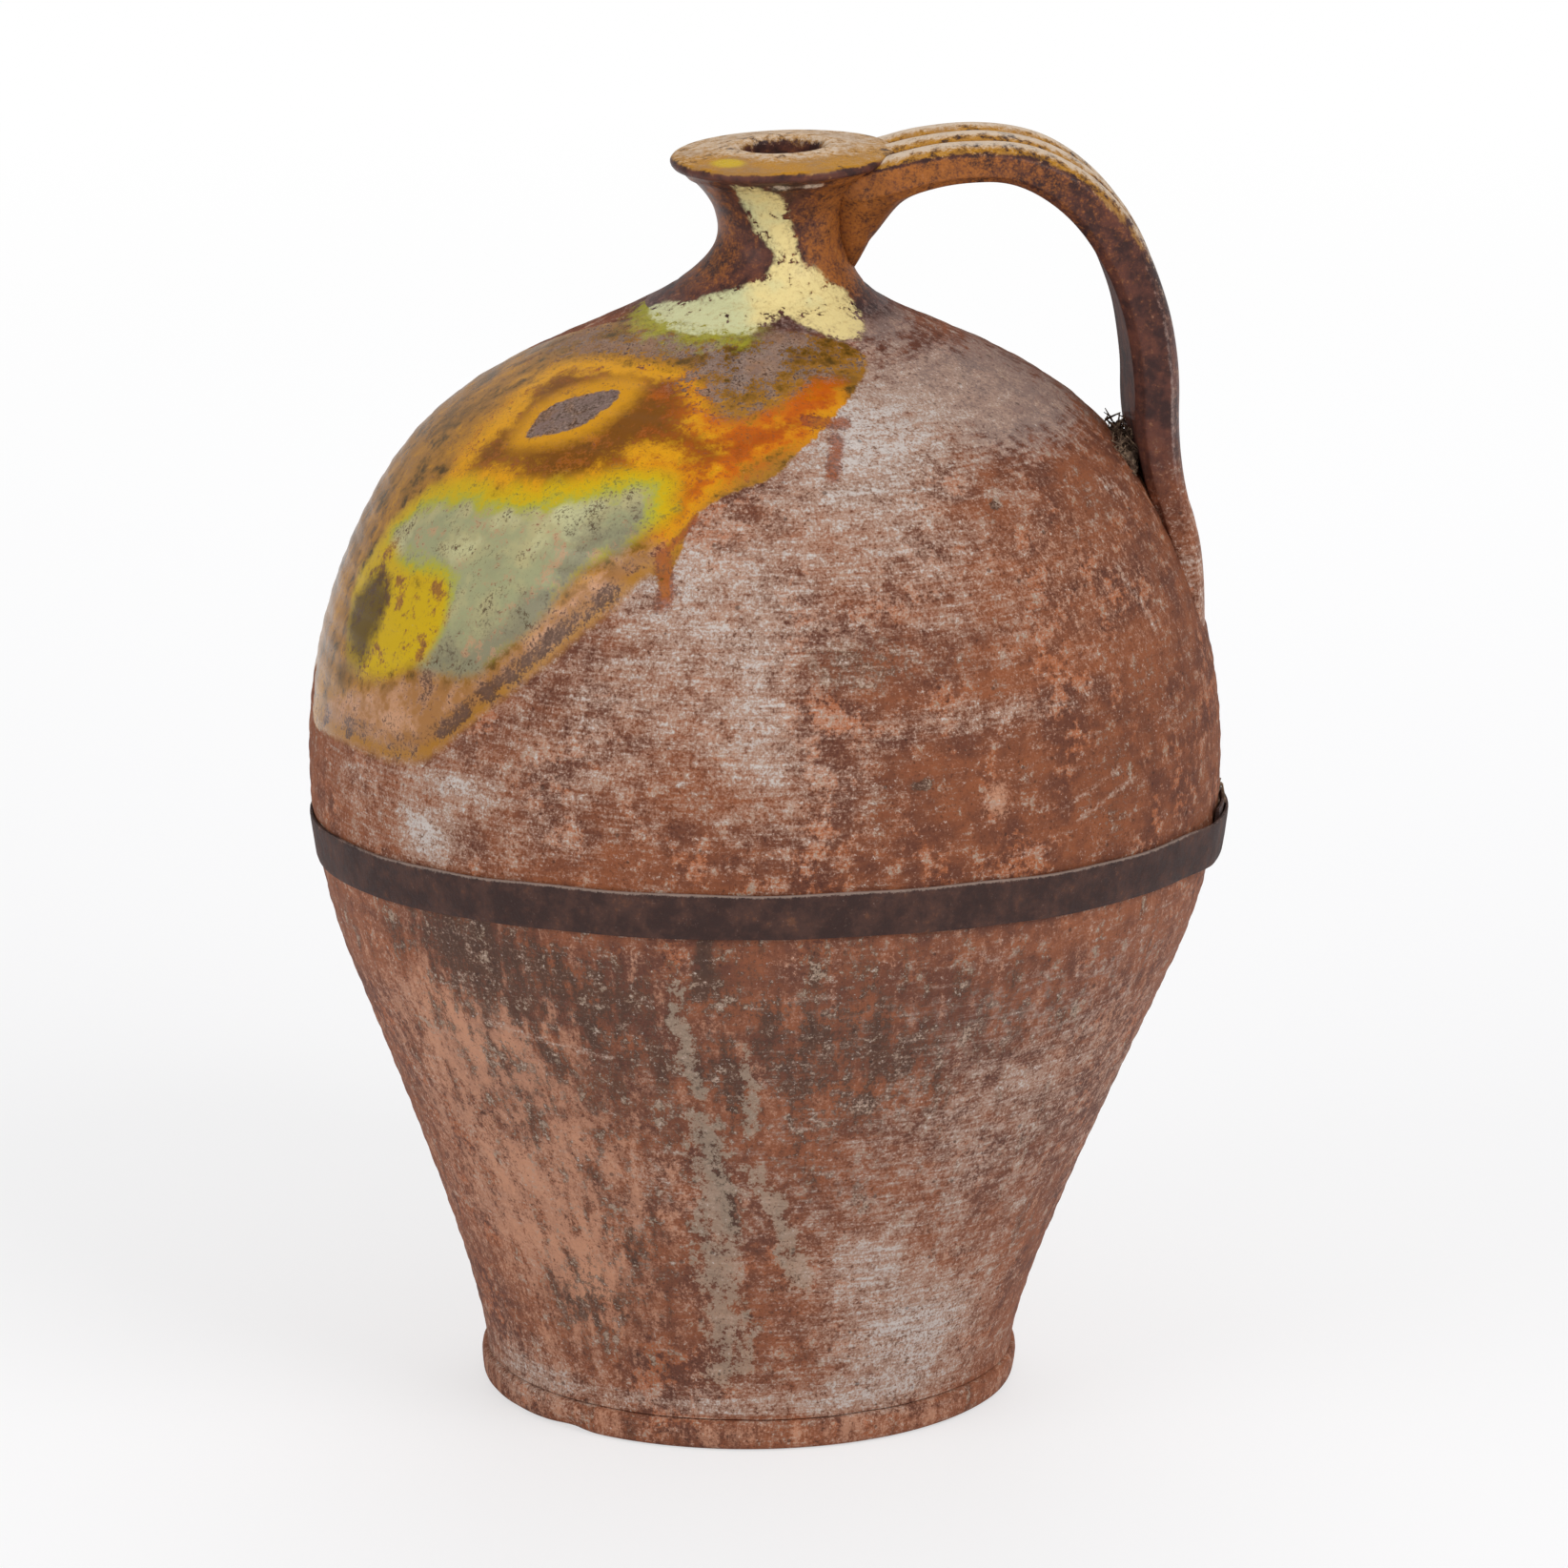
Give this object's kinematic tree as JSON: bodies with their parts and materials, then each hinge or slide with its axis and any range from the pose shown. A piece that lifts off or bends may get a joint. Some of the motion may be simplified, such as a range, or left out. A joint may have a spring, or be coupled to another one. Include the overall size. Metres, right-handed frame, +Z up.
{
  "type": "olive jar",
  "caption": "Free-standing earthenware storage jar with a domed shoulder, short flanged neck, one ribbed strap handle and a riveted iron hoop round the belly.",
  "frame": {"origin": "centre of the flat base, on the floor", "axes": "+Z up the jar, +X towards the strap handle"},
  "size_m": [0.4075, 0.4036, 0.5622],
  "materials": {
    "earthenware": "bare red-brown fired clay, weathered, with lime bloom",
    "glazed_earthenware": "worn amber and ochre lead glaze over red-brown clay",
    "wrought_iron": "dark rust"
  },
  "bodies": {
    "root": {"lower_body": "earthenware", "upper_body": "earthenware", "neck_and_rim": "glazed_earthenware", "strap_handle": "glazed_earthenware", "iron_hoop": "wrought_iron", "hoop_rivets": "wrought_iron"}
  },
  "joints": []
}
